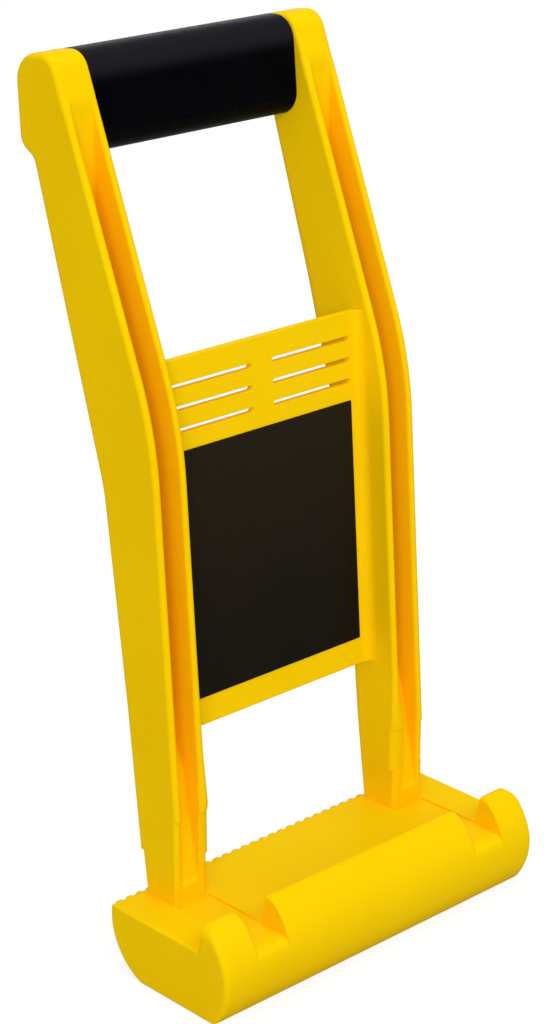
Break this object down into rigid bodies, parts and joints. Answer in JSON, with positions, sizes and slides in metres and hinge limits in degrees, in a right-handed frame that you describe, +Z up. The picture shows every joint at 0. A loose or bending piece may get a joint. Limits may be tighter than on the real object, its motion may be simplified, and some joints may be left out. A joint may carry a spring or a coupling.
{
  "type": "panel carrier",
  "caption": "Hand carrier for boards: a long foot with a hooked lip and trough, two bent channel uprights, a slotted cross plate with a plain dark label and a padded grip.",
  "frame": {"origin": "on the ground, in the middle of the foot's flat underside, below the centre of its rounded front", "axes": "+X to the right along the foot, +Y to the back where the handle leans, +Z up"},
  "size_m": [0.165, 0.1271, 0.3389],
  "materials": {
    "yellow_plastic": "satin moulded plastic",
    "label": "satin printed film",
    "grip_rubber": "fine textured soft rubber",
    "screw_steel": "zinc plated"
  },
  "bodies": {
    "root": {"foot": "yellow_plastic", "left_upright": "yellow_plastic", "right_upright": "yellow_plastic", "cross_plate": "yellow_plastic", "label_panel": "label", "handle_core": "yellow_plastic", "grip_sleeve": "grip_rubber", "foot_screws": "screw_steel", "head_screws": "screw_steel"}
  },
  "joints": []
}
